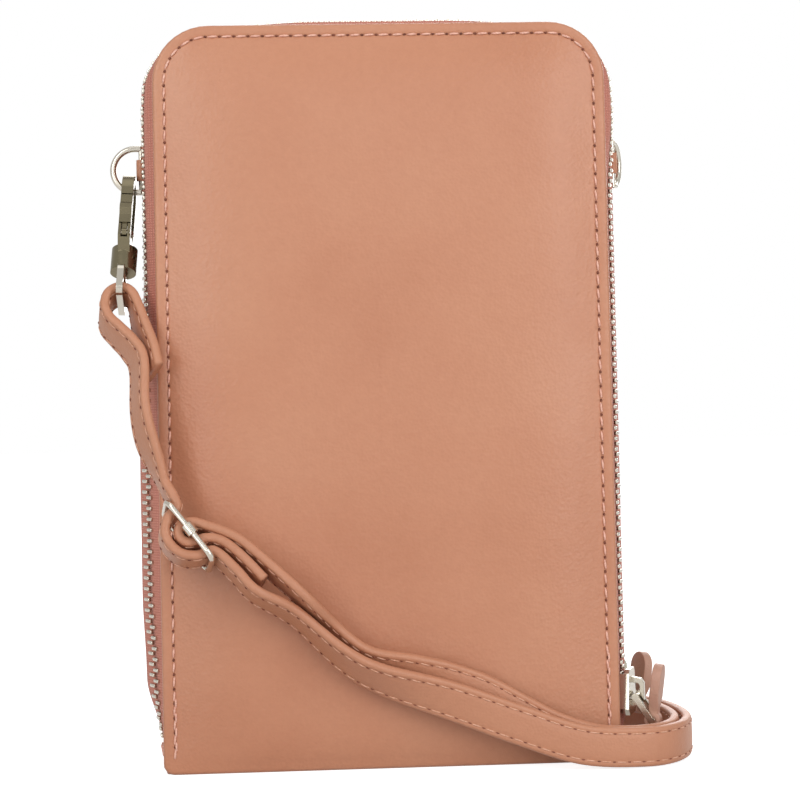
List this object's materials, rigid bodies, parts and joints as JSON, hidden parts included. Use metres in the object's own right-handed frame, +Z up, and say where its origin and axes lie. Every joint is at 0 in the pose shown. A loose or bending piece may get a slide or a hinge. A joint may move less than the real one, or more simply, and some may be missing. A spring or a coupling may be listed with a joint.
{
  "type": "phone pouch",
  "caption": "Slim upright leather phone pouch with a padded front, zips round both compartments, side rings, pull tabs and a long stitched shoulder strap on swivel clasps.",
  "frame": {"origin": "middle of the base, on the surface the pouch stands on", "axes": "+X to the right seen from the front, +Y towards the back, +Z up"},
  "size_m": [0.1372, 0.1076, 0.1758],
  "materials": {
    "leather": "smooth, slightly glossy, peach tan",
    "tab_leather": "smooth, with cut edges",
    "strap_leather": "smooth, folded and stitched",
    "zip_tape": "woven, salmon pink",
    "nickel": "polished nickel",
    "slider_metal": "polished, slightly warm",
    "clasp_metal": "satin, aged nickel",
    "padding": "soft foam",
    "board": "stiff board",
    "lining": "plain woven lining"
  },
  "bodies": {
    "pouch": {"base_leather": "leather", "front_panel": "leather", "front_padding": "padding", "front_board": "board", "front_lining": "lining", "front_zip_tape_outer": "zip_tape", "front_zip_tape_inner": "zip_tape", "front_zip_teeth_outer": "nickel", "front_zip_teeth_inner": "nickel", "front_zip_stop": "nickel", "middle_band": "leather", "middle_board": "lining", "phone_pocket": "lining", "card_pocket_high": "lining", "card_pocket_middle": "lining", "card_pocket_low": "lining", "rear_zip_tape_inner": "zip_tape", "rear_zip_teeth_inner": "nickel", "rear_zip_stop": "nickel", "gusset_left": "lining", "gusset_right": "lining", "ring_tab_left": "tab_leather", "ring_tab_right": "tab_leather", "side_ring_left": "nickel", "near_hook": "clasp_metal", "near_gate_pin": "nickel", "near_swivel": "nickel", "far_swivel": "nickel", "slide_buckle": "nickel", "strap_long": "strap_leather", "strap_return": "strap_leather"},
    "rear_cover": {"rear_panel": "leather", "rear_padding": "padding", "rear_board": "board", "rear_lining": "lining", "rear_slip_pocket": "lining", "rear_zip_tape_outer": "zip_tape", "rear_zip_teeth_outer": "nickel"},
    "front_slider": {"front_slider": "slider_metal"},
    "front_link": {"front_pull_link": "slider_metal"},
    "front_tab": {"front_pull_tab": "tab_leather"},
    "rear_slider": {"rear_slider": "slider_metal"},
    "rear_link": {"rear_pull_link": "slider_metal"},
    "rear_tab": {"rear_pull_tab": "tab_leather"},
    "right_ring": {"side_ring_right": "nickel"},
    "near_gate": {"near_gate": "clasp_metal"},
    "far_hook": {"far_hook": "clasp_metal", "far_gate_pin": "nickel"},
    "far_gate": {"far_gate": "clasp_metal"}
  },
  "joints": [
    {"name": "rear_cover_hinge", "type": "hinge", "parent": "pouch", "child": "rear_cover", "pos_m": [0, 0.0167, 0], "axis": [-1, 0, 0], "range_deg": [0, 30], "deforming": ["gusset_left", "gusset_right", "rear_zip_tape_outer", "rear_zip_teeth_outer"]},
    {"name": "front_slider_run", "type": "slide", "parent": "pouch", "child": "front_slider", "axis": [0, 0, 1], "range_m": [0, 0.11], "deforming": ["front_zip_teeth_outer", "front_zip_teeth_inner"]},
    {"name": "rear_slider_run", "type": "slide", "parent": "pouch", "child": "rear_slider", "axis": [0, 0, 1], "range_m": [0, 0.11], "deforming": ["rear_zip_teeth_outer", "rear_zip_teeth_inner"]},
    {"name": "front_link_swing", "type": "hinge", "parent": "front_slider", "child": "front_link", "pos_m": [0.05782, -0.00928, 0.0139], "axis": [0.342, 0.9397, 0], "range_deg": [-10, 20]},
    {"name": "front_tab_swing", "type": "hinge", "parent": "front_link", "child": "front_tab", "pos_m": [0.06124, -0.01053, 0.00851], "axis": [0.342, 0.9397, 0], "range_deg": [-5, 30]},
    {"name": "rear_link_swing", "type": "hinge", "parent": "rear_slider", "child": "rear_link", "pos_m": [0.05782, 0.00928, 0.0139], "axis": [-0.342, 0.9397, 0], "range_deg": [-10, 20]},
    {"name": "rear_tab_swing", "type": "hinge", "parent": "rear_link", "child": "rear_tab", "pos_m": [0.06124, 0.01053, 0.00851], "axis": [-0.342, 0.9397, 0], "range_deg": [-5, 30]},
    {"name": "right_ring_swing", "type": "hinge", "parent": "pouch", "child": "right_ring", "pos_m": [0.0567, 0, 0.1405], "axis": [0, 0, 1], "range_deg": [-150, 0]},
    {"name": "near_clasp_gate", "type": "hinge", "parent": "pouch", "child": "near_gate", "pos_m": [-0.06002, -0.01025, 0.12487], "axis": [-0.9988, 0, 0.0489], "range_deg": [0, 30], "stiffness_Nm_per_rad": 0.002},
    {"name": "far_clasp_swivel", "type": "hinge", "parent": "pouch", "child": "far_hook", "pos_m": [-0.024, 0.069, 0.0069], "axis": [-1, 0, 0], "range_deg": [-30, 30]},
    {"name": "far_clasp_gate", "type": "hinge", "parent": "far_hook", "child": "far_gate", "pos_m": [-0.0312, 0.069, 0.0025], "axis": [0, 1, 0], "range_deg": [0, 30], "stiffness_Nm_per_rad": 0.002}
  ]
}
